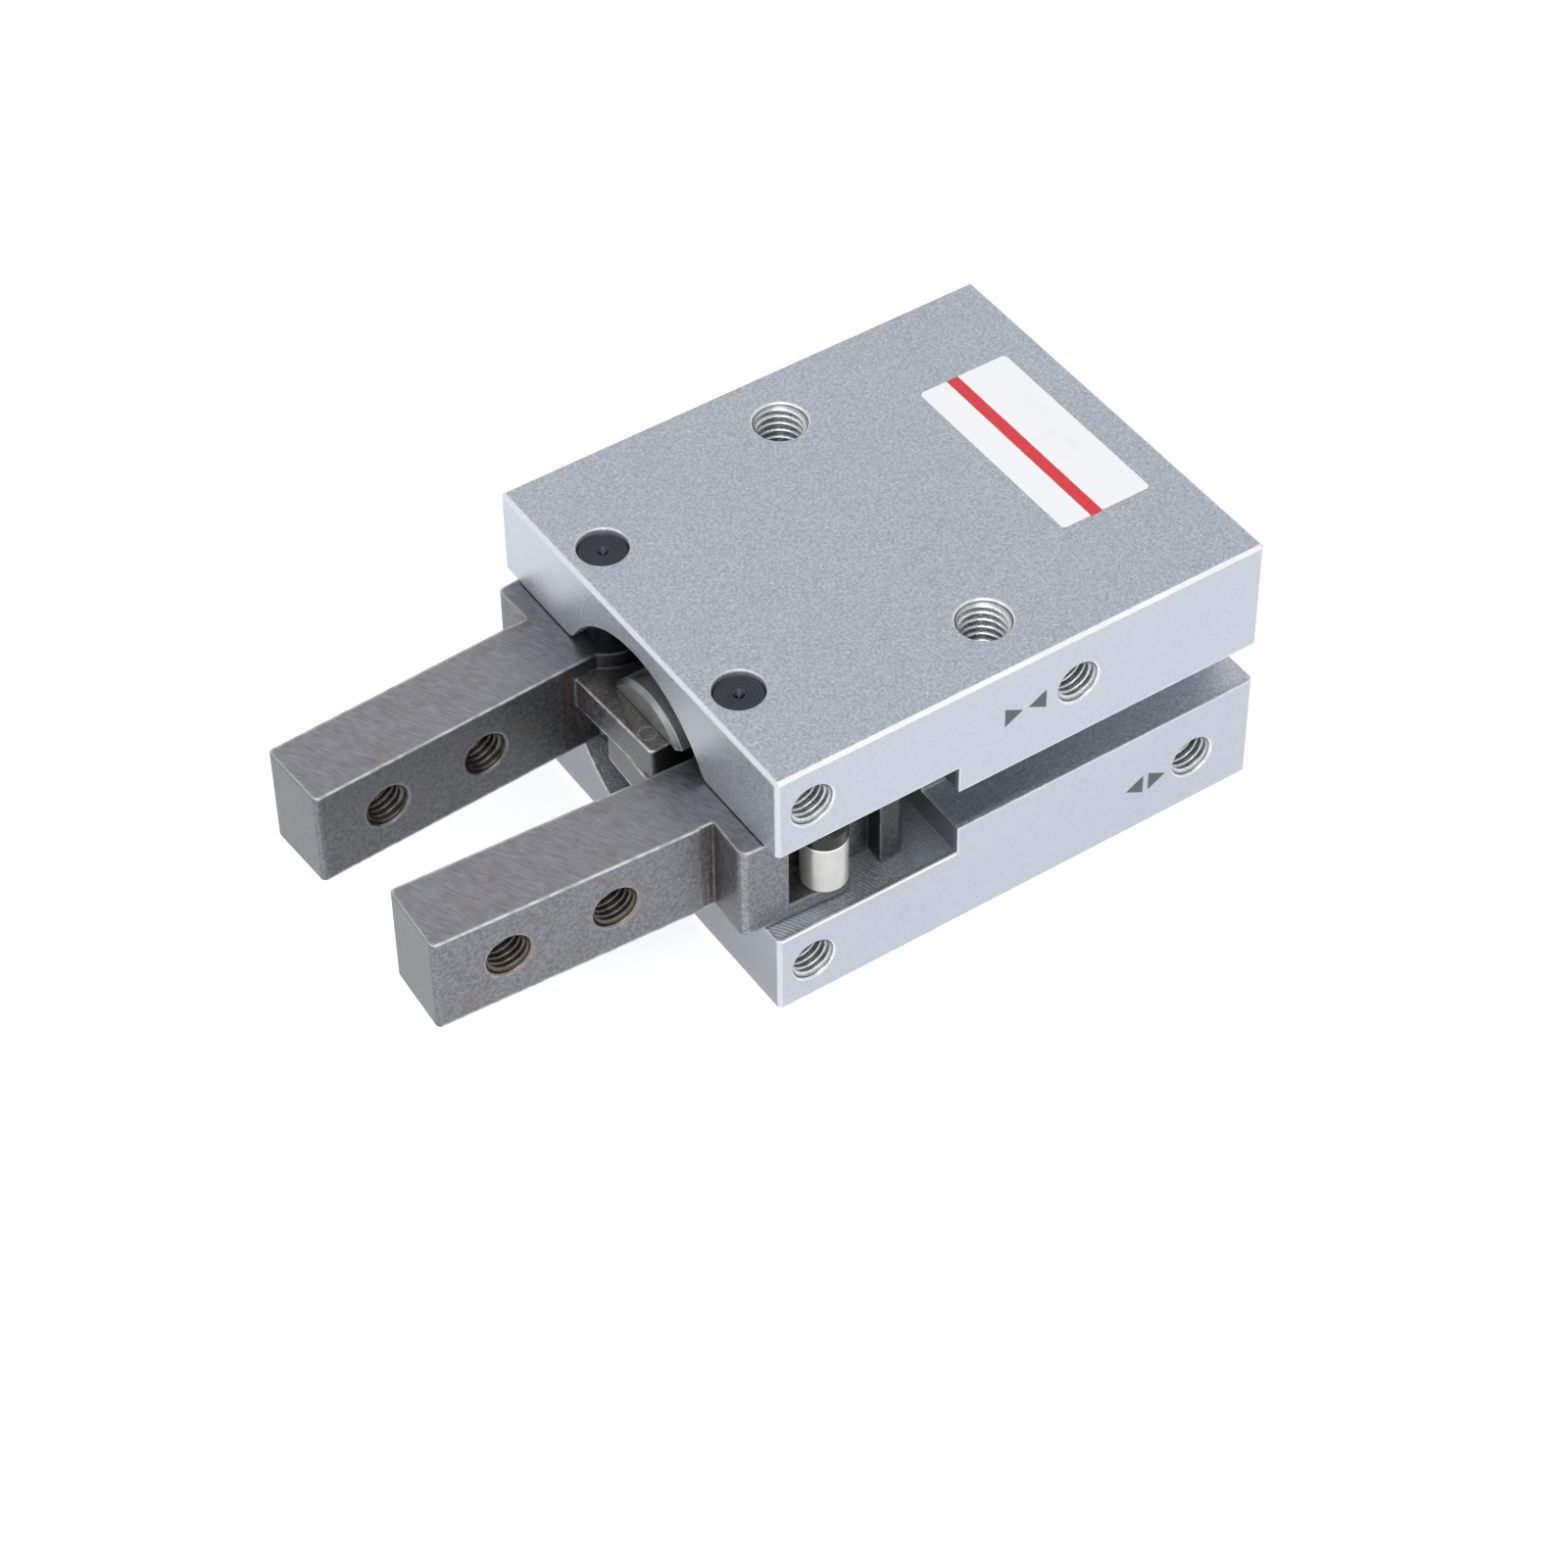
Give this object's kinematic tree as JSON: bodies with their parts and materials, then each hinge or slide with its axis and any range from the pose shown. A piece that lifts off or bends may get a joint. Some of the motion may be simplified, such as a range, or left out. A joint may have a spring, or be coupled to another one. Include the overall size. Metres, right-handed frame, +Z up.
{
  "type": "pneumatic angular gripper",
  "caption": "Double-acting pneumatic angular gripper: aluminium block body, pivoting steel fingers driven by a clevis rod, threaded mounts and air ports.",
  "frame": {"origin": "centre of the body's bottom face", "axes": "+X towards the finger tips, +Y towards the side with the air ports, +Z up"},
  "size_m": [0.0954, 0.052, 0.0336],
  "materials": {
    "anodised_aluminium": "fine blasted and clear anodised",
    "cap_aluminium": "turned and clear anodised",
    "seal_rubber": "moulded nitrile rubber",
    "bumper_urethane": "moulded urethane",
    "black_spring_steel": "phosphated spring steel",
    "bush_bronze": "sintered bronze",
    "rod_steel": "hardened steel",
    "pin_steel": "ground steel",
    "finger_steel": "ground and heat-treated steel",
    "magnet_nickel": "bright nickel plate",
    "black_oxide_pin": "black oxide"
  },
  "bodies": {
    "housing": {"body": "anodised_aluminium", "end_cap": "cap_aluminium", "end_cap_o_ring": "seal_rubber", "end_cap_retaining_ring": "black_spring_steel", "rear_bumper": "bumper_urethane", "rod_cover": "cap_aluminium", "rod_cover_o_ring": "seal_rubber", "rod_cover_retaining_ring": "black_spring_steel", "rod_bush": "bush_bronze", "rod_seal": "seal_rubber", "front_bumper": "bumper_urethane", "left_fulcrum_pin": "black_oxide_pin", "right_fulcrum_pin": "black_oxide_pin"},
    "piston_assembly": {"piston_rod": "rod_steel", "piston": "cap_aluminium", "piston_seal": "seal_rubber", "piston_screw": "black_spring_steel", "center_pin": "pin_steel"},
    "left_finger_body": {"left_finger": "finger_steel", "left_switch_magnet": "magnet_nickel"},
    "right_finger_body": {"right_finger": "finger_steel", "right_switch_magnet": "magnet_nickel"}
  },
  "joints": [
    {"name": "piston_slide", "type": "slide", "parent": "housing", "child": "piston_assembly", "axis": [1, 0, 0], "range_m": [-0.00162, 0.00764]},
    {"name": "left_finger_pivot", "type": "hinge", "parent": "housing", "child": "left_finger_body", "pos_m": [0.0261, 0.01275, 0.0168], "axis": [0, 0, 1], "range_deg": [-7, 33]},
    {"name": "right_finger_pivot", "type": "hinge", "parent": "housing", "child": "right_finger_body", "pos_m": [0.0261, -0.01275, 0.0168], "axis": [0, 0, -1], "range_deg": [-7, 33]}
  ],
  "couplings": [
    {"joint": "left_finger_pivot", "follows": "piston_slide", "rad_per_m": 75.295},
    {"joint": "right_finger_pivot", "follows": "piston_slide", "rad_per_m": 75.295}
  ]
}
